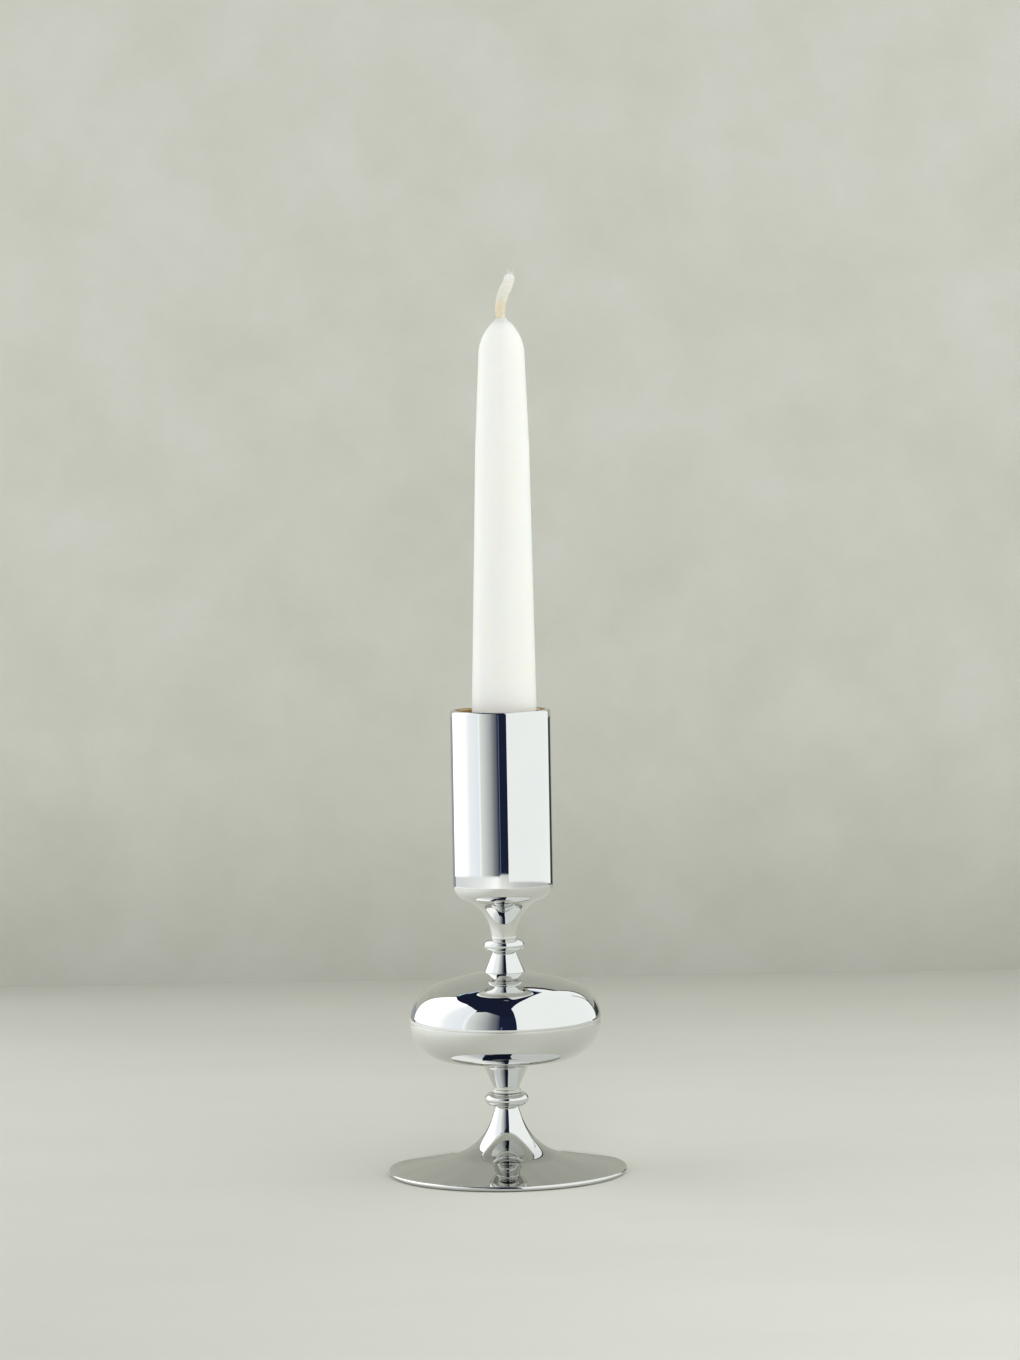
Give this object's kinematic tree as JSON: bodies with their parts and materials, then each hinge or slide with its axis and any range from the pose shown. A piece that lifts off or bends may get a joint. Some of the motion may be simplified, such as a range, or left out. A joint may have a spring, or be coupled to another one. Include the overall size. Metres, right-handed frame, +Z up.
{
  "type": "candlestick",
  "caption": "Bright chromed candlestick: thin round foot, turned stem with beads and a flattened hollow bulb, tall cup, and an ivory taper candle that lifts out.",
  "frame": {"origin": "centre of the resting face on the table, on the axis of the stick", "axes": "+Z up along the stick; -Y faces the viewer, +X to the viewer's right; the candle leans slightly towards +X"},
  "size_m": [0.0778, 0.0778, 0.2917],
  "materials": {
    "chrome": "mirror-polished chromed metal with fine rubbing marks",
    "steel": "zinc-plated steel",
    "brass": "plain spun brass, slightly dulled",
    "iron": "raw turned cast iron",
    "felt": "pressed dark wool felt",
    "wax": "smooth ivory candle wax, slightly translucent",
    "cotton": "braided cotton wick, stiff with wax"
  },
  "bodies": {
    "candlestick": {"felt_pad": "felt", "foot_weight": "iron", "foot": "chrome", "foot_washer": "steel", "lock_washer": "steel", "foot_nut": "steel", "tie_rod": "steel", "lower_bead": "chrome", "lower_stem": "chrome", "bulb_lower_shell": "chrome", "bulb_upper_shell": "chrome", "bulb_spacer": "steel", "upper_cone": "chrome", "upper_bead": "chrome", "neck": "chrome", "cup": "chrome", "cup_washer": "steel", "cup_nut": "steel", "candle_socket": "brass"},
    "candle": {"candle_wax": "wax", "wick": "cotton"}
  },
  "joints": [
    {"name": "candle_lift", "type": "slide", "parent": "candlestick", "child": "candle", "axis": [0, 0, 1], "range_m": [0, 0.06]}
  ]
}
